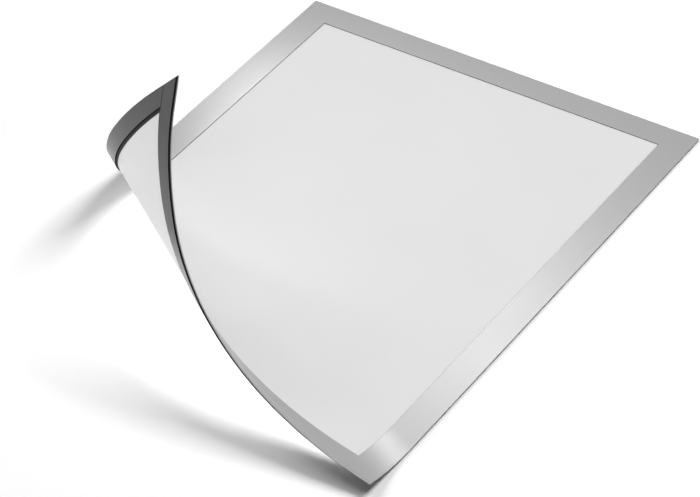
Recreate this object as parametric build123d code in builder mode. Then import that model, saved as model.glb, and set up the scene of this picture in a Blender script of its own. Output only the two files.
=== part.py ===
import os
from math import atan2, cos, degrees, radians, sin

from build123d import *

os.makedirs("parts", exist_ok=True)

# A flexible magnetic frame for one sheet of paper, lying on its back with its bottom-left corner
# peeled up. X runs across the page, Y up the page and Z out of its front. The origin is the centre
# of the flat frame, on the surface that the magnets hold to.

# Paper sheet: it lies between the magnets, with a ledge of the core ring over its edges.
insert_width = 210.0
insert_height = 297.0
insert_clearance = 0.4
insert_overlap = 2.7

# Layers of the laminate, from the magnets at the back to the silver face at the front. The magnets
# stand in from the outer edge, and the core ring's window stands back from the silver face's.
edge_margin = 1.0
magnet_width = 11.6
magnet_thickness = 0.45
tape_thickness = 0.1
tape_inset = 0.3
core_thickness = 0.12
core_setback = 1.0
film_thickness = 0.2
face_thickness = 0.25
bond_line = 0.04
butt_gap = 0.2

# Peeled corner: the sheet leaves the flat along a straight peel line, bends around a cone, eases on a
# wider cone with the same point and runs out flat to its tip. Heights of these lines above the bottom
# edge, at the frame's sides, and the distance from the left edge along the peel line to that point.
peel_left = 172.7
peel_right = 37.7
ease_left = 74.9
tip_left = 22.3
cone_reach = 268.2
bend_half_angle = 8.48
ease_half_angle = 14.63
roll_steps = 10
peel_slit = 0.1

# Outlines, measured from the centre of the flat frame.
border = edge_margin + magnet_width + insert_clearance + insert_overlap
right = insert_width / 2 + insert_clearance + magnet_width + edge_margin
left = -right
top = insert_height / 2 + insert_clearance + magnet_width + edge_margin
bottom = -top
face_rim = border
core_rim = border - core_setback

# Strips: the top and bottom ones run across, and the side ones butt between them.
strip_left = left + edge_margin
strip_right = right - edge_margin
strip_low = bottom + edge_margin
strip_high = top - edge_margin
side_low = strip_low + magnet_width + butt_gap
side_high = strip_high - magnet_width - butt_gap

# Heights of the layers above the back.
tape_level = magnet_thickness + bond_line
core_level = tape_level + tape_thickness + bond_line
film_level = core_level + core_thickness + bond_line
face_level = film_level + film_thickness + bond_line
thickness = face_level + face_thickness

# Straight lines on the rolled sheet all run through the cones' point, so an angle below X names each.
roll_start = degrees(atan2(peel_left - peel_right, right - left))
cone_x = left - cone_reach * cos(radians(roll_start))
cone_y = bottom + peel_left + cone_reach * sin(radians(roll_start))


def angle_of(x, y):
    return degrees(atan2(cone_y - y, x - cone_x))


roll_ease = angle_of(left, bottom + ease_left)
roll_end = angle_of(left, bottom + tip_left)

# The cones keep the middle of the laminate at its length, so their point lies at half the thickness.
middle = thickness / 2
cone_point = Vector(cone_x, cone_y, middle)
up = Vector(0, 0, 1)
start_line = Vector(cos(radians(roll_start)), -sin(radians(roll_start)), 0)


def cone_axis(half_angle):
    return Axis((0, 0, 0), start_line * cos(radians(half_angle)) + up * sin(radians(half_angle)))


# Directions on the rolled sheet are the flat sheet's, turned back to the start of the roll and then
# carried around the wider cone and the narrower one.
def carried(direction, angle):
    bent = min(max(angle - roll_start, 0), roll_ease - roll_start)
    eased = min(max(angle - roll_ease, 0), roll_end - roll_ease)
    flat = direction.rotate(Axis.Z, bent + eased)
    flat = flat.rotate(cone_axis(ease_half_angle), -eased / sin(radians(ease_half_angle)))
    return flat.rotate(cone_axis(bend_half_angle), -bent / sin(radians(bend_half_angle)))


# Plane across the sheet along the straight line at an angle below X: its x runs along that line
# from the cones' point, and its y out of the sheet's front.
def line_plane(angle):
    along = carried(Vector(cos(radians(angle)), -sin(radians(angle)), 0), angle)
    return Plane(cone_point, x_dir=along, z_dir=along.cross(carried(up, angle)))


# Plane of the flat tip past the roll, with the flat frame's own x and y.
def tip_plane(level):
    x_dir = carried(Vector(1, 0, 0), roll_end)
    y_dir = carried(Vector(0, 1, 0), roll_end)
    z_dir = carried(up, roll_end)
    origin = cone_point - x_dir * cone_x - y_dir * cone_y + z_dir * (level - middle)
    return Plane(origin, x_dir=x_dir, z_dir=z_dir)


field_side = line_plane(roll_start).offset(-peel_slit)
tip_side = line_plane(roll_end)


# Distance from the cones' point, along the line at an angle, to an upright or a level edge.
def to_upright(x, angle):
    return (x - cone_x) / cos(radians(angle))


def to_level(y, angle):
    return (cone_y - y) / sin(radians(angle))


def to_left_edge(angle):
    return to_upright(left, angle)


def to_outer_edge(angle):
    return min(to_upright(right, angle), to_level(bottom, angle))


outer_corner = angle_of(right, bottom)


# Rolled length of a layer between two edges, from one angle to another, with a break in the loft at
# the change of cones and at each corner of its outline.
def roll(near, far, level, depth, corners=(), begin=roll_start, end=roll_end, mode=Mode.ADD):
    inside = (angle for angle in (roll_ease, *corners) if begin < angle < end)
    breaks = sorted({begin, end, *inside})
    for first, last in zip(breaks, breaks[1:]):
        count = max(4, round(roll_steps * (last - first) / (roll_end - roll_start)))
        sections = []
        for index in range(count + 1):
            angle = first + (last - first) * index / count
            with BuildSketch(line_plane(angle)) as section:
                with Locations(((near(angle) + far(angle)) / 2, level + depth / 2 - middle)):
                    Rectangle(far(angle) - near(angle), depth)
            sections.append(section.sketch.face())
        loft(sections, mode=mode)


# Flat layers, drawn on the flat frame or on the plane of the tip.
def flat_sheet(plane, depth):
    with BuildSketch(plane) as outline:
        Rectangle(right - left, top - bottom)
    extrude(outline.sketch, amount=depth)


def flat_ring(plane, depth, rim):
    with BuildSketch(plane) as outline:
        Rectangle(right - left, top - bottom)
        Rectangle(right - left - 2 * rim, top - bottom - 2 * rim, mode=Mode.SUBTRACT)
    extrude(outline.sketch, amount=depth)


def flat_strip(plane, depth, x_low, x_high, y_low, y_high):
    with BuildSketch(plane) as outline:
        with Locations(((x_low + x_high) / 2, (y_low + y_high) / 2)):
            Rectangle(x_high - x_low, y_high - y_low)
    extrude(outline.sketch, amount=depth)


# Peeled parts of a whole sheet, of a ring and of the strips behind them.
def peeled_sheet(level, depth):
    flat_sheet(tip_plane(level), depth)
    split(bisect_by=tip_side, keep=Keep.TOP)
    roll(to_left_edge, to_outer_edge, level, depth, (outer_corner,))


def peeled_ring(level, depth, rim):
    def to_window_left(angle):
        return to_upright(left + rim, angle)

    def to_window_edge(angle):
        return min(to_upright(right - rim, angle), to_level(bottom + rim, angle))

    window_end = min(angle_of(left + rim, bottom + rim), roll_end)
    window_corner = angle_of(right - rim, bottom + rim)
    flat_ring(tip_plane(level), depth, rim)
    split(bisect_by=tip_side, keep=Keep.TOP)
    roll(to_left_edge, to_window_left, level, depth, end=window_end)
    roll(to_window_edge, to_outer_edge, level, depth, (window_corner, outer_corner), end=window_end)
    if window_end < roll_end:
        roll(to_left_edge, to_outer_edge, level, depth, begin=window_end)


def peeled_left_strip(level, depth, inset):
    x_low, x_high = strip_left + inset, strip_left + magnet_width - inset
    y_low = side_low + inset
    flat_strip(tip_plane(level), depth, x_low, x_high, y_low, side_high - inset)
    split(bisect_by=tip_side, keep=Keep.TOP)
    roll(
        lambda angle: to_upright(x_low, angle),
        lambda angle: min(to_upright(x_high, angle), to_level(y_low, angle)),
        level, depth, (angle_of(x_high, y_low),),
    )


def peeled_right_strip(level, depth, inset):
    x_low, x_high = strip_right - magnet_width + inset, strip_right - inset
    past = angle_of(x_low, bottom)
    roll(
        lambda angle: to_upright(x_low, angle), lambda angle: to_upright(x_high, angle),
        level, depth, end=past,
    )
    roll(
        lambda angle: to_level(side_low + inset, angle),
        lambda angle: to_level(bottom - magnet_width, angle),
        -thickness, 3 * thickness, end=angle_of(x_low, bottom - magnet_width), mode=Mode.SUBTRACT,
    )


def peeled_bottom_strip(level, depth, inset):
    y_low, y_high = strip_low + inset, strip_low + magnet_width - inset
    flat_strip(tip_plane(level), depth, strip_left + inset, strip_right - inset, y_low, y_high)
    split(bisect_by=tip_side, keep=Keep.TOP)
    roll(lambda angle: to_level(y_high, angle), lambda angle: to_level(y_low, angle), level, depth)
    roll(
        lambda angle: to_upright(strip_right - inset, angle),
        lambda angle: to_upright(right + right, angle),
        -thickness, 3 * thickness, begin=roll_start - 1, end=angle_of(right, bottom - magnet_width),
        mode=Mode.SUBTRACT,
    )


# Silver face: one die-cut ring of film.
with BuildPart() as silver_face:
    flat_ring(Plane.XY.offset(face_level), face_thickness, face_rim)
    split(bisect_by=field_side, keep=Keep.BOTTOM)

with BuildPart() as silver_face_flap:
    peeled_ring(face_level, face_thickness, face_rim)

# Window film: one sheet under the whole border.
with BuildPart() as window_film:
    flat_sheet(Plane.XY.offset(film_level), film_thickness)
    split(bisect_by=field_side, keep=Keep.BOTTOM)

with BuildPart() as window_film_flap:
    peeled_sheet(film_level, film_thickness)

# Core ring: its inner margin is the ledge that the paper lies against.
with BuildPart() as core_ring:
    flat_ring(Plane.XY.offset(core_level), core_thickness, core_rim)
    split(bisect_by=field_side, keep=Keep.BOTTOM)

with BuildPart() as core_ring_flap:
    peeled_ring(core_level, core_thickness, core_rim)

# Magnet strips: top and bottom run across, and the sides butt between them.
with BuildPart() as top_magnet:
    flat_strip(
        Plane.XY, magnet_thickness, strip_left, strip_right, strip_high - magnet_width, strip_high,
    )

with BuildPart() as left_magnet:
    flat_strip(
        Plane.XY, magnet_thickness, strip_left, strip_left + magnet_width, side_low, side_high,
    )
    split(bisect_by=field_side, keep=Keep.BOTTOM)

with BuildPart() as left_magnet_flap:
    peeled_left_strip(0, magnet_thickness, 0)

with BuildPart() as right_magnet:
    flat_strip(
        Plane.XY, magnet_thickness, strip_right - magnet_width, strip_right, side_low, side_high,
    )
    split(bisect_by=field_side, keep=Keep.BOTTOM)

with BuildPart() as right_magnet_flap:
    peeled_right_strip(0, magnet_thickness, 0)

with BuildPart() as bottom_magnet:
    peeled_bottom_strip(0, magnet_thickness, 0)

# Adhesive tapes: one on the front of each magnet strip, a little smaller than the strip.
with BuildPart() as top_tape:
    flat_strip(
        Plane.XY.offset(tape_level), tape_thickness,
        strip_left + tape_inset, strip_right - tape_inset,
        strip_high - magnet_width + tape_inset, strip_high - tape_inset,
    )

with BuildPart() as left_tape:
    flat_strip(
        Plane.XY.offset(tape_level), tape_thickness,
        strip_left + tape_inset, strip_left + magnet_width - tape_inset,
        side_low + tape_inset, side_high - tape_inset,
    )
    split(bisect_by=field_side, keep=Keep.BOTTOM)

with BuildPart() as left_tape_flap:
    peeled_left_strip(tape_level, tape_thickness, tape_inset)

with BuildPart() as right_tape:
    flat_strip(
        Plane.XY.offset(tape_level), tape_thickness,
        strip_right - magnet_width + tape_inset, strip_right - tape_inset,
        side_low + tape_inset, side_high - tape_inset,
    )
    split(bisect_by=field_side, keep=Keep.BOTTOM)

with BuildPart() as right_tape_flap:
    peeled_right_strip(tape_level, tape_thickness, tape_inset)

with BuildPart() as bottom_tape:
    peeled_bottom_strip(tape_level, tape_thickness, tape_inset)

pieces = {
    "silver_face": silver_face,
    "silver_face_flap": silver_face_flap,
    "window_film": window_film,
    "window_film_flap": window_film_flap,
    "core_ring": core_ring,
    "core_ring_flap": core_ring_flap,
    "top_magnet": top_magnet,
    "left_magnet": left_magnet,
    "left_magnet_flap": left_magnet_flap,
    "right_magnet": right_magnet,
    "right_magnet_flap": right_magnet_flap,
    "bottom_magnet": bottom_magnet,
    "top_tape": top_tape,
    "left_tape": left_tape,
    "left_tape_flap": left_tape_flap,
    "right_tape": right_tape,
    "right_tape_flap": right_tape_flap,
    "bottom_tape": bottom_tape,
}
for name, piece in pieces.items():
    piece.part.label = name
    export_step(piece.part, f"parts/{name}.step")
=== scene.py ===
from math import atan2, cos, radians, sin

import bmesh
import bpy
from mathutils import Matrix, Vector


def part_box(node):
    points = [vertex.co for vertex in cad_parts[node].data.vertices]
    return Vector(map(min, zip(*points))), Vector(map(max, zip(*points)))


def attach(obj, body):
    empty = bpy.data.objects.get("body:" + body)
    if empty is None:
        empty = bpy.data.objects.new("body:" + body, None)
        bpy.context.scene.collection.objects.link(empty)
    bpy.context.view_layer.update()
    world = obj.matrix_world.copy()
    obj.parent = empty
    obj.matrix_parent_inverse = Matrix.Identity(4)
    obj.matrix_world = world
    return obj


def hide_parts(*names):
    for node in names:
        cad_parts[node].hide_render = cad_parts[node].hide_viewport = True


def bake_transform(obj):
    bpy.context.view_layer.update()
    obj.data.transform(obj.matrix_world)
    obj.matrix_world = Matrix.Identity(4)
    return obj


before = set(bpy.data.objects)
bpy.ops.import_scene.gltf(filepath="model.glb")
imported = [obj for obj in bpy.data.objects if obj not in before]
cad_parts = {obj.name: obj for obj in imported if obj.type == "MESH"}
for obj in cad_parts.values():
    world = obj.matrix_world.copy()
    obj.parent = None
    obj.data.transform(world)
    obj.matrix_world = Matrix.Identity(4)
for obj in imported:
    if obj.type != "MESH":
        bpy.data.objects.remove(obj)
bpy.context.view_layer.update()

mm = 0.001
scene = bpy.context.scene
scene.view_settings.view_transform = "Standard"


def srgb(hexText, alpha=1.0):  # sRGB hex to the linear colour that sockets take
    parts = [int(hexText[i:i + 2], 16) / 255 for i in (1, 3, 5)]
    return (*(p / 12.92 if p <= 0.04045 else ((p + 0.055) / 1.055) ** 2.4 for p in parts), alpha)


def addNode(tree, kind, inputs=None, **settings):
    made = tree.nodes.new(kind)
    for name, value in settings.items():
        setattr(made, name, value)
    for name, value in (inputs or {}).items():
        if isinstance(value, bpy.types.NodeSocket):
            tree.links.new(value, made.inputs[name])
        else:
            made.inputs[name].default_value = value
    return made


def newMaterial(name):
    made = bpy.data.materials.new(name)
    made.use_nodes = True
    made.node_tree.nodes.clear()
    return made, made.node_tree


mixFirst, mixSecond, mixResult = 6, 7, 2  # the colour sockets of a Mix node

# outlines of the flat sheet and of the strips behind it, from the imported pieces
sheetLow, sheetHigh = (Vector(corner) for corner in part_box("window_film"))
stripLow, stripHigh = (Vector(corner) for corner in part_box("top_magnet"))
right, left, top, bottom = sheetHigh.x, sheetLow.x, sheetHigh.y, -sheetHigh.y
stripRight, stripLeft = stripHigh.x, stripLow.x
stripTop, stripBottom = stripHigh.y, -stripHigh.y
stripWidth = stripHigh.y - stripLow.y


def levels(nodeName):  # bottom and top of a layer of the laminate
    low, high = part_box(nodeName)
    return low[2], high[2]


laminate = {
    "border": 15.7 * mm,       # silver border, from the outer edge to the window
    "coreRim": 14.7 * mm,      # the core ring stands back from the window
    "tapeInset": 0.3 * mm,
    "buttGap": 0.2 * mm,
    "edgeEase": 0.12 * mm,     # rounding left by the die
    "stripEase": 0.12 * mm,
    "cell": 3.0 * mm,          # mesh spacing, fine enough for the tightest part of the roll
    "sharpFrom": radians(15),  # edges that turn more than this are shaded as edges
}
thickness = levels("silver_face")[1]

# the corner leaves the flat on the peel line, bends on a cone, eases on a wider one and ends flat
peel = {
    "left": 172.7 * mm,        # where the peel line meets the left edge, above the bottom edge
    "right": 37.7 * mm,
    "easeLeft": 74.9 * mm,     # where the bend eases on the left edge
    "tipLeft": 22.3 * mm,      # where the flat tip begins on the left edge
    "coneReach": 268.2 * mm,   # from the left edge along the peel line to the cones' point
    "bendHalfAngle": radians(8.48),
    "easeHalfAngle": radians(14.63),
    "softLength": 46.0 * mm,   # the sheet takes this far to follow the corner as it is peeled on
    "softRise": 0.8,           # how steeply that stretch climbs
}
peelAngle = atan2(peel["left"] - peel["right"], right - left)
conePoint = Vector((
    left - peel["coneReach"] * cos(peelAngle),
    bottom + peel["left"] + peel["coneReach"] * sin(peelAngle),
    thickness / 2,
))
easeAngle, tipAngle = (atan2(conePoint.y - bottom - peel[name], left - conePoint.x)
                       for name in ("easeLeft", "tipLeft"))
print("sheet", round((right - left) / mm, 1), "x", round((top - bottom) / mm, 1), "mm")


# Materials

# satin silver ink under clear vinyl: metal flake, a soft wide highlight, a faint mottle, and a
# clear film over it that is paler at a slant
silverLook = {
    "dark": "#8e8e8e",
    "light": "#9a9a9a",
    "flake": 0.9 * mm,         # drawn coarse enough to show
    "mottle": 38 * mm,
    "metallic": 0.95,
    "roughLow": 0.35,
    "roughHigh": 0.40,
    "coatRoughness": 0.3,
    "relief": 0.004 * mm,
}


def silverInk(look):
    made, tree = newMaterial("silverInkOnPvc")
    flat = addNode(tree, "ShaderNodeUVMap", uv_map="flat").outputs["UV"]
    flake = addNode(tree, "ShaderNodeTexNoise", {
        "Vector": flat, "Scale": 1 / look["flake"], "Detail": 3.0, "Roughness": 0.6})
    mottle = addNode(tree, "ShaderNodeTexNoise", {
        "Vector": flat, "Scale": 1 / look["mottle"], "Detail": 2.0})
    tone = addNode(tree, "ShaderNodeMix", {
        "Factor": flake.outputs["Fac"], mixFirst: srgb(look["dark"]),
        mixSecond: srgb(look["light"])}, data_type="RGBA")
    rough = addNode(tree, "ShaderNodeMapRange", {
        "Value": mottle.outputs["Fac"], "To Min": look["roughLow"], "To Max": look["roughHigh"]})
    bump = addNode(tree, "ShaderNodeBump", {
        "Height": flake.outputs["Fac"], "Strength": 0.25, "Distance": look["relief"]})
    skin = addNode(tree, "ShaderNodeBsdfPrincipled", {
        "Base Color": tone.outputs[mixResult], "Metallic": look["metallic"],
        "Roughness": rough.outputs["Result"], "Coat Weight": 1.0,
        "Coat Roughness": look["coatRoughness"], "Coat IOR": 1.5,
        "Normal": bump.outputs["Normal"]})
    addNode(tree, "ShaderNodeOutputMaterial", {"Surface": skin.outputs["BSDF"]})
    return made


# matt embossed vinyl window, drawn opaque: pale, with a faint haze and a fine anti-glare grain
windowLook = {
    "dark": "#e6e6e6",
    "light": "#ebebeb",
    "grain": 0.8 * mm,         # really about 0.1 mm, drawn coarser to show
    "haze": 70 * mm,
    "roughness": 0.55,
    "relief": 0.006 * mm,
}


def mattWindow(look):
    made, tree = newMaterial("mattPvcWindow")
    flat = addNode(tree, "ShaderNodeUVMap", uv_map="flat").outputs["UV"]
    grain = addNode(tree, "ShaderNodeTexNoise", {
        "Vector": flat, "Scale": 1 / look["grain"], "Detail": 2.0})
    haze = addNode(tree, "ShaderNodeTexNoise", {
        "Vector": flat, "Scale": 1 / look["haze"], "Detail": 1.0})
    tone = addNode(tree, "ShaderNodeMix", {
        "Factor": haze.outputs["Fac"], mixFirst: srgb(look["dark"]),
        mixSecond: srgb(look["light"])}, data_type="RGBA")
    bump = addNode(tree, "ShaderNodeBump", {
        "Height": grain.outputs["Fac"], "Strength": 0.3, "Distance": look["relief"]})
    skin = addNode(tree, "ShaderNodeBsdfPrincipled", {
        "Base Color": tone.outputs[mixResult], "Roughness": look["roughness"], "IOR": 1.53,
        "Normal": bump.outputs["Normal"]})
    addNode(tree, "ShaderNodeOutputMaterial", {"Surface": skin.outputs["BSDF"]})
    return made


# rubber-bonded ferrite, calendered: dark grey, faint lines along the strip and a low sheen
ferriteLook = {
    "dark": "#131313",
    "light": "#1b1b1b",
    "lines": 1.1 * mm,
    "stretch": 0.03,           # the lines are drawn out along the strip
    "grit": 0.7 * mm,
    "roughness": 0.27,
    "gloss": 0.32,
    "sheen": 0.1,
    "relief": 0.008 * mm,
}


def ferriteRubber(look):
    made, tree = newMaterial("calenderedFerriteRubber")
    flat = addNode(tree, "ShaderNodeUVMap", uv_map="flat").outputs["UV"]
    along = addNode(tree, "ShaderNodeMapping", {
        "Vector": flat, "Scale": (look["stretch"], 1.0, 1.0)})
    lines = addNode(tree, "ShaderNodeTexNoise", {
        "Vector": along.outputs["Vector"], "Scale": 1 / look["lines"], "Detail": 3.0})
    grit = addNode(tree, "ShaderNodeTexNoise", {
        "Vector": flat, "Scale": 1 / look["grit"], "Detail": 2.0})
    mixed = addNode(tree, "ShaderNodeMath", {
        0: lines.outputs["Fac"], 1: grit.outputs["Fac"]}, operation="ADD")
    spread = addNode(tree, "ShaderNodeMapRange", {
        "Value": mixed.outputs["Value"], "From Min": 0.6, "From Max": 1.4})
    tone = addNode(tree, "ShaderNodeMix", {
        "Factor": spread.outputs["Result"], mixFirst: srgb(look["dark"]),
        mixSecond: srgb(look["light"])}, data_type="RGBA")
    bump = addNode(tree, "ShaderNodeBump", {
        "Height": mixed.outputs["Value"], "Strength": 0.3, "Distance": look["relief"]})
    skin = addNode(tree, "ShaderNodeBsdfPrincipled", {
        "Base Color": tone.outputs[mixResult], "Roughness": look["roughness"], "IOR": 1.5,
        "Specular IOR Level": look["gloss"], "Sheen Weight": look["sheen"],
        "Sheen Roughness": 0.3, "Normal": bump.outputs["Normal"]})
    addNode(tree, "ShaderNodeOutputMaterial", {"Surface": skin.outputs["BSDF"]})
    return made


# dark plastics, matt with a fine grain: the two tones, roughness, gloss and size of the grain
darkLooks = {
    "blackPvcCore": ("#212121", "#2a2a2a", 0.6, 0.2, 0.8 * mm),       # calendered vinyl sheet
    "dieCutRubberEdge": ("#040404", "#090909", 0.8, 0.05, 0.5 * mm),  # rough where it was cut
    # the silver's cut edge round the window only (its outer edges take the silver): drawn dark
    # grey as painted shade, standing in for the shadow line along the window's rim
    "silverRimEdgePaintedShade": ("#343434", "#404040", 0.7, 0.12, 0.5 * mm),
    "darkAcrylicAdhesive": ("#0a0a0a", "#101010", 0.45, 0.1, 1.5 * mm),
}


def darkPlastic(name):
    dark, light, roughness, gloss, grainSize = darkLooks[name]
    made, tree = newMaterial(name)
    place = addNode(tree, "ShaderNodeTexCoord")
    grain = addNode(tree, "ShaderNodeTexNoise", {
        "Vector": place.outputs["Object"], "Scale": 1 / grainSize, "Detail": 3.0})
    tone = addNode(tree, "ShaderNodeMix", {
        "Factor": grain.outputs["Fac"], mixFirst: srgb(dark), mixSecond: srgb(light)},
        data_type="RGBA")
    bump = addNode(tree, "ShaderNodeBump", {
        "Height": grain.outputs["Fac"], "Strength": 0.2, "Distance": 0.01 * mm})
    skin = addNode(tree, "ShaderNodeBsdfPrincipled", {
        "Base Color": tone.outputs[mixResult], "Roughness": roughness, "IOR": 1.45,
        "Specular IOR Level": gloss, "Normal": bump.outputs["Normal"]})
    addNode(tree, "ShaderNodeOutputMaterial", {"Surface": skin.outputs["BSDF"]})
    return made


silver = silverInk(silverLook)
window = mattWindow(windowLook)
ferrite = ferriteRubber(ferriteLook)
blackCore, cutEdge, rimEdgePaintedShade, glue = (darkPlastic(name) for name in darkLooks)
print("materials ready")


# Flat layers, before the corner is rolled

def spaced(low, high, ease):  # grid lines across a stretch, with one close to each cut edge
    inner = high - low - 2 * ease
    count = max(1, round(inner / laminate["cell"]))
    return [low, *(low + ease + inner * i / count for i in range(count + 1)), high]


def flatLayer(name, xLines, yLines, hole, low, high, lengthways, outerCut=True):
    ease = min(xLines[1] - xLines[0], (high - low) / 4)  # a thin layer is eased less
    shape = bmesh.new()
    uvs = shape.loops.layers.uv.new("flat")
    cut = shape.faces.layers.bool.new("cutEdge")
    tiny = 1e-7

    def inside(x, y):
        return hole and hole[0] < x < hole[1] and hole[2] < y < hole[3]

    def onOuter(x, y):
        return min(x - xLines[0], xLines[-1] - x, y - yLines[0], yLines[-1] - y) < tiny

    def onHole(x, y):
        if not hole:
            return False
        within = hole[0] - tiny < x < hole[1] + tiny and hole[2] - tiny < y < hole[3] + tiny
        nearest = min(abs(x - hole[0]), abs(x - hole[1]), abs(y - hole[2]), abs(y - hole[3]))
        return within and nearest < tiny

    def asCut(x, y):  # on an outline that takes the edge's material
        return onHole(x, y) or outerCut and onOuter(x, y)

    points = {}

    def point(i, j, upper):
        if (i, j, upper) not in points:
            x, y = xLines[i], yLines[j]
            drop = ease if onHole(x, y) or onOuter(x, y) else 0.0
            points[i, j, upper] = shape.verts.new((x, y, high - drop if upper else low + drop))
        return points[i, j, upper]

    cells = {(i, j) for i in range(len(xLines) - 1) for j in range(len(yLines) - 1)
             if not inside((xLines[i] + xLines[i + 1]) / 2, (yLines[j] + yLines[j + 1]) / 2)}
    for i, j in sorted(cells):
        ring = [(i, j), (i + 1, j), (i + 1, j + 1), (i, j + 1)]
        for upper, order in ((True, ring), (False, ring[::-1])):
            face = shape.faces.new([point(a, b, upper) for a, b in order])
            face.smooth = True
            face[cut] = any(asCut(xLines[a], yLines[b]) for a, b in ring)
        neighbours = ((i, j - 1), (i + 1, j), (i, j + 1), (i - 1, j))
        for (a, b), (c, d), beside in zip(ring, ring[1:] + ring[:1], neighbours):
            if beside not in cells:
                wall = shape.faces.new([point(a, b, True), point(a, b, False),
                                        point(c, d, False), point(c, d, True)])
                wall.smooth = True
                wall[cut] = asCut(xLines[a], yLines[b]) and asCut(xLines[c], yLines[d])
    for face in shape.faces:
        for loop in face.loops:
            x, y = loop.vert.co.x, loop.vert.co.y
            loop[uvs].uv = (y, x) if lengthways else (x, y)
    mesh = bpy.data.meshes.new(name)
    shape.to_mesh(mesh)
    shape.free()
    made = bpy.data.objects.new(name, mesh)
    scene.collection.objects.link(made)
    return made


def acrossHole(low, holeLow, holeHigh, high, ease):  # grid lines of a ring, each one once
    return (spaced(low, holeLow, ease) + spaced(holeLow, holeHigh, ease)[1:]
            + spaced(holeHigh, high, ease)[1:])


def sheetLayer(name, node, border):
    low, high = levels(node)
    ease = laminate["edgeEase"]
    if not border:
        return flatLayer(name, spaced(left, right, ease), spaced(bottom, top, ease), None,
                         low, high, False)
    hole = (left + border, right - border, bottom + border, top - border)
    return flatLayer(name, acrossHole(left, hole[0], hole[1], right, ease),
                     acrossHole(bottom, hole[2], hole[3], top, ease), hole,
                     low, high, False, outerCut=False)


def stripLayer(name, node, side, inset):
    low, high = levels(node)
    ease, gap = laminate["stripEase"], laminate["buttGap"]
    sideLow, sideHigh = stripBottom + stripWidth + gap, stripTop - stripWidth - gap
    xLow, xHigh, yLow, yHigh = {
        "top": (stripLeft, stripRight, stripTop - stripWidth, stripTop),
        "bottom": (stripLeft, stripRight, stripBottom, stripBottom + stripWidth),
        "left": (stripLeft, stripLeft + stripWidth, sideLow, sideHigh),
        "right": (stripRight - stripWidth, stripRight, sideLow, sideHigh),
    }[side]
    return flatLayer(name, spaced(xLow + inset, xHigh - inset, ease),
                     spaced(yLow + inset, yHigh - inset, ease), None,
                     low, high, side in ("left", "right"))


# The roll: every straight line through the cones' point is carried round the cones as one

rollSockets = {
    "Geometry": "NodeSocketGeometry",
    "Cone Point": "NodeSocketVector",
    "Peel Angle": "NodeSocketFloat",
    "Bend Sweep": "NodeSocketFloat",
    "Ease Sweep": "NodeSocketFloat",
    "Bend Half Angle": "NodeSocketFloat",
    "Ease Half Angle": "NodeSocketFloat",
    "Face Material": "NodeSocketMaterial",
    "Edge Material": "NodeSocketMaterial",
}

# the roll's sums in order: a result, what is done, and to what: inputs, earlier results or numbers
rollSums = (
    ("down", "MULTIPLY", "Y", -1.0),
    ("lineAngle", "ARCTAN2", "down", "X"),
    ("past", "SUBTRACT", "lineAngle", "Peel Angle"),
    ("pastPeel", "MAXIMUM", "past", 0.0),
    ("bent", "MINIMUM", "pastPeel", "Bend Sweep"),
    ("over", "SUBTRACT", "past", "Bend Sweep"),
    ("pastBend", "MAXIMUM", "over", 0.0),
    ("eased", "MINIMUM", "pastBend", "Ease Sweep"),
    ("flatTurn", "ADD", "bent", "eased"),
    ("peelX", "COSINE", "Peel Angle"),
    ("peelDown", "MULTIPLY", "Peel Angle", -1.0),
    ("peelY", "SINE", "peelDown"),
    # the axis of each cone, and the turn about it
    ("easeAcross", "COSINE", "Ease Half Angle"),
    ("easeX", "MULTIPLY", "peelX", "easeAcross"),
    ("easeY", "MULTIPLY", "peelY", "easeAcross"),
    ("easeZ", "SINE", "Ease Half Angle"),
    ("easeRound", "DIVIDE", "eased", "easeZ"),
    ("easeTurn", "MULTIPLY", "easeRound", -1.0),
    ("bendAcross", "COSINE", "Bend Half Angle"),
    ("bendX", "MULTIPLY", "peelX", "bendAcross"),
    ("bendY", "MULTIPLY", "peelY", "bendAcross"),
    ("bendZ", "SINE", "Bend Half Angle"),
    ("bendRound", "DIVIDE", "bent", "bendZ"),
    ("bendTurn", "MULTIPLY", "bendRound", -1.0),
)


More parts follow.
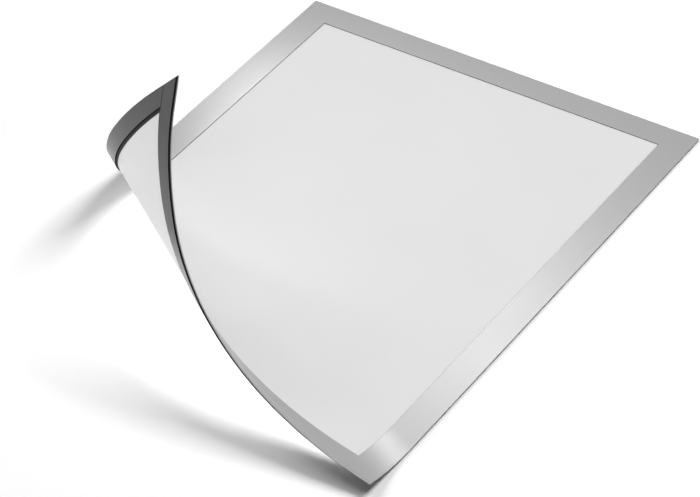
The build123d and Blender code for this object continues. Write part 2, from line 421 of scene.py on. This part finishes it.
def buildRoll():
    tree = bpy.data.node_groups.new("rollCorner", "GeometryNodeTree")
    for name, kind in rollSockets.items():
        tree.interface.new_socket(name, in_out="INPUT", socket_type=kind)
    tree.interface.new_socket("Geometry", in_out="OUTPUT", socket_type="NodeSocketGeometry")
    given = addNode(tree, "NodeGroupInput").outputs

    place = addNode(tree, "GeometryNodeInputPosition")
    fromPoint = addNode(tree, "ShaderNodeVectorMath", {
        0: place.outputs["Position"], 1: given["Cone Point"]}, operation="SUBTRACT")
    parts = addNode(tree, "ShaderNodeSeparateXYZ", {"Vector": fromPoint.outputs["Vector"]}).outputs
    known = {name: given[name] for name in rollSockets}
    known.update(X=parts["X"], Y=parts["Y"])
    for result, operation, *terms in rollSums:
        inputs = {index: known.get(term, term) for index, term in enumerate(terms)}
        step = addNode(tree, "ShaderNodeMath", inputs, operation=operation)
        known[result] = step.outputs["Value"]

    rolled = addNode(tree, "ShaderNodeVectorRotate", {
        "Vector": fromPoint.outputs["Vector"], "Angle": known["flatTurn"]}, rotation_type="Z_AXIS")
    for cone in ("ease", "bend"):
        axis = addNode(tree, "ShaderNodeCombineXYZ", {part: known[cone + part] for part in "XYZ"})
        rolled = addNode(tree, "ShaderNodeVectorRotate", {
            "Vector": rolled.outputs["Vector"], "Axis": axis.outputs["Vector"],
            "Angle": known[cone + "Turn"]}, rotation_type="AXIS_ANGLE")
    placed = addNode(tree, "ShaderNodeVectorMath", {
        0: rolled.outputs["Vector"], 1: given["Cone Point"]}, operation="ADD")
    moved = addNode(tree, "GeometryNodeSetPosition", {
        "Geometry": given["Geometry"], "Position": placed.outputs["Vector"]})
    real = addNode(tree, "GeometryNodeRealizeInstances", {"Geometry": moved.outputs["Geometry"]})
    faced = addNode(tree, "GeometryNodeSetMaterial", {
        "Geometry": real.outputs["Geometry"], "Material": given["Face Material"]})
    isCut = addNode(tree, "GeometryNodeInputNamedAttribute", {"Name": "cutEdge"},
                    data_type="BOOLEAN")
    edged = addNode(tree, "GeometryNodeSetMaterial", {
        "Geometry": faced.outputs["Geometry"], "Selection": isCut.outputs["Attribute"],
        "Material": given["Edge Material"]})
    addNode(tree, "NodeGroupOutput", {"Geometry": edged.outputs["Geometry"]})
    return tree


rollTree = buildRoll()
rollInput = {item.name: item.identifier for item in rollTree.interface.items_tree
             if item.in_out == "INPUT"}


def rollPiece(piece, faceMaterial, edgeMaterial):
    modifier = piece.modifiers.new("rollCorner", "NODES")
    modifier.node_group = rollTree
    sizes = {
        "Cone Point": conePoint,
        "Peel Angle": peelAngle,
        "Bend Sweep": easeAngle - peelAngle,
        "Ease Sweep": tipAngle - easeAngle,
        "Bend Half Angle": peel["bendHalfAngle"],
        "Ease Half Angle": peel["easeHalfAngle"],
        "Face Material": faceMaterial,
        "Edge Material": edgeMaterial,
    }
    for name, value in sizes.items():
        modifier[rollInput[name]] = value
    bpy.context.view_layer.update()
    ready = piece.evaluated_get(bpy.context.evaluated_depsgraph_get())
    mesh = bpy.data.meshes.new_from_object(ready)
    piece.modifiers.remove(modifier)
    piece.data = mesh
    mesh.set_sharp_from_angle(angle=laminate["sharpFrom"])


# Pieces: each stands for its flat node and its peeled one, and bends across the peel line

pieces = [
    # the silver's edge round the window takes the painted-shade edge colour
    ("silverFace", sheetLayer("silverFace", "silver_face", laminate["border"]),
     silver, rimEdgePaintedShade, "silver_film", ("silver_face", "silver_face_flap")),
    ("windowFilm", sheetLayer("windowFilm", "window_film", None),
     window, window, "window_film", ("window_film", "window_film_flap")),
    ("coreRing", sheetLayer("coreRing", "core_ring", laminate["coreRim"]),
     blackCore, blackCore, "black_core", ("core_ring", "core_ring_flap")),
]
for side, endings in (("top", ("",)), ("bottom", ("",)), ("left", ("", "_flap")),
                      ("right", ("", "_flap"))):
    for layer, face, edge, slotName, inset in (
            ("magnet", ferrite, cutEdge, "magnet_rubber", 0.0),
            ("tape", glue, glue, "adhesive_tape", laminate["tapeInset"])):
        name = side + layer.capitalize()
        # the bottom strip has no flat node, so it takes its levels from the top one
        flatNode = ("top" if side == "bottom" else side) + "_" + layer
        replaced = tuple(side + "_" + layer + ending for ending in endings)
        pieces.append((name, stripLayer(name, flatNode, side, inset), face, edge, slotName,
                       replaced))

for name, piece, face, edge, slotName, replaced in pieces:
    rollPiece(piece, face, edge)
    if name.startswith("top"):
        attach(piece, "frame")
    else:
        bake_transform(piece)
    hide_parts(*replaced)
    piece.visible_shadow = name != "windowFilm"  # light reaches the floor through the window
    print("piece", name, len(piece.data.polygons), "faces")


# Floor, light and camera

stage = {
    "floorSize": 6.0,
    "floorDrop": 0.05 * mm,    # the floor lies just below the magnets
    "whiteFrom": 0.4,          # the floor goes over to plain white from here outwards
    "whiteTo": 0.9,
    "floorTone": "#ebebeb",
    "floorSeen": 1.2,          # the same floor as the camera and the gloss see it
    "worldLight": 0.03,
    "worldSeen": 1.0,          # white, behind everything and in the gloss
}


def makeFloor():
    half, level = stage["floorSize"] / 2, -stage["floorDrop"]
    corners = [(-half, -half, level), (half, -half, level), (half, half, level),
               (-half, half, level)]
    mesh = bpy.data.meshes.new("floor")
    mesh.from_pydata(corners, [], [(0, 1, 2, 3)])
    made, tree = newMaterial("paleFloor")
    path = addNode(tree, "ShaderNodeLightPath").outputs
    seen = addNode(tree, "ShaderNodeMath", {
        0: path["Is Camera Ray"], 1: path["Is Glossy Ray"]}, operation="MAXIMUM")
    tone = addNode(tree, "ShaderNodeMix", {
        "Factor": seen.outputs["Value"], mixFirst: srgb(stage["floorTone"]),
        mixSecond: (*[stage["floorSeen"]] * 3, 1.0)}, data_type="RGBA")
    matt = addNode(tree, "ShaderNodeBsdfDiffuse", {"Color": tone.outputs[mixResult]})
    spot = addNode(tree, "ShaderNodeTexCoord")
    reach = addNode(tree, "ShaderNodeVectorMath", {0: spot.outputs["Object"]}, operation="LENGTH")
    fade = addNode(tree, "ShaderNodeMapRange", {
        "Value": reach.outputs["Value"], "From Min": stage["whiteFrom"],
        "From Max": stage["whiteTo"], "To Max": seen.outputs["Value"]})
    white = addNode(tree, "ShaderNodeEmission")
    both = addNode(tree, "ShaderNodeMixShader", {
        0: fade.outputs["Result"], 1: matt.outputs["BSDF"], 2: white.outputs["Emission"]})
    addNode(tree, "ShaderNodeOutputMaterial", {"Surface": both.outputs["Shader"]})
    mesh.materials.append(made)
    floor = bpy.data.objects.new("floor", mesh)
    scene.collection.objects.link(floor)


def makeWorld():
    world = bpy.data.worlds.new("softStudio")
    world.use_nodes = True
    tree = world.node_tree
    tree.nodes.clear()
    path = addNode(tree, "ShaderNodeLightPath").outputs
    direct = addNode(tree, "ShaderNodeMath", {
        0: path["Is Camera Ray"], 1: path["Is Glossy Ray"]}, operation="MAXIMUM")
    seen = addNode(tree, "ShaderNodeMath", {
        0: direct.outputs["Value"], 1: path["Is Transmission Ray"]}, operation="MAXIMUM")
    strength = addNode(tree, "ShaderNodeMapRange", {
        "Value": seen.outputs["Value"], "To Min": stage["worldLight"],
        "To Max": stage["worldSeen"]})
    sky = addNode(tree, "ShaderNodeBackground", {
        "Color": (1.0, 1.0, 1.0, 1.0), "Strength": strength.outputs["Result"]})
    addNode(tree, "ShaderNodeOutputWorld", {"Surface": sky.outputs["Background"]})
    scene.world = world


lamps = {
    # place, aim, direction of the long side, the two sizes and the power
    "key": ((0.8, 1.2, 2.4), (0.0, 0.0, 0.0), (1.0, 0.0, 0.0), (1.2, 1.2), 52.0),
    "left": ((-3.4, 0.4, 4.0), (0.0, 0.0, 0.0), (0.0, 1.0, 0.0), (2.4, 2.4), 100.0),
    "right": ((2.4, -1.4, 1.0), (0.0, 0.0, 0.0), (0.5, 0.86, 0.0), (1.6, 0.8), 5.0),
    "lowFront": ((-1.2, -2.0, 0.16), (-0.05, 0.0, 0.05), (0.86, -0.51, 0.0), (1.3, 0.25), 20.5),
    # a leaning strip behind the sheet, whose soft reflection crosses the silver by the peel line
    "strip": ((0.065, 0.476, 0.610), (0.0, 0.0, 0.0), (0.421, 0.467, 0.778), (1.236, 0.06), 1.35),
}
lampsInGloss = ("strip", "lowFront")  # the gloss shows the white room and these two


def areaLight(name):
    place, aim, along, sizes, power = lamps[name]
    lamp = bpy.data.lights.new(name, "AREA")
    lamp.shape = "RECTANGLE"
    lamp.size, lamp.size_y, lamp.energy = *sizes, power
    made = bpy.data.objects.new(name, lamp)
    along = Vector(along).normalized()
    away = Vector(place) - Vector(aim)
    away = (away - along * away.dot(along)).normalized()
    turn = Matrix((along, away.cross(along), away)).transposed()
    made.matrix_world = Matrix.Translation(place) @ turn.to_4x4()
    made.visible_camera = False
    made.visible_glossy = name in lampsInGloss
    made.visible_diffuse = name != "strip"
    scene.collection.objects.link(made)


view = {  # from the photograph's own perspective: place, aim, lens and a slight tilt
    "place": (753.77 * mm, -1184.10 * mm, 1098.90 * mm),
    "aim": (13.70 * mm, -11.94 * mm, 0.64 * mm),
    "lens": 182.81,
    "sensor": 36.0,
    "farClip": 50.0,
    "roll": radians(0.06),
}


def makeCamera():
    data = bpy.data.cameras.new("photoView")
    data.sensor_width, data.lens = view["sensor"], view["lens"]
    data.clip_end = view["farClip"]
    made = bpy.data.objects.new("photoView", data)
    facing = (Vector(view["aim"]) - Vector(view["place"])).to_track_quat("-Z", "Y")
    made.matrix_world = (Matrix.Translation(view["place"]) @ facing.to_matrix().to_4x4()
                         @ Matrix.Rotation(view["roll"], 4, "Z"))
    scene.collection.objects.link(made)
    scene.camera = made


makeFloor()
makeWorld()
makeCamera()
for lampName in lamps:
    areaLight(lampName)
print("stage ready")
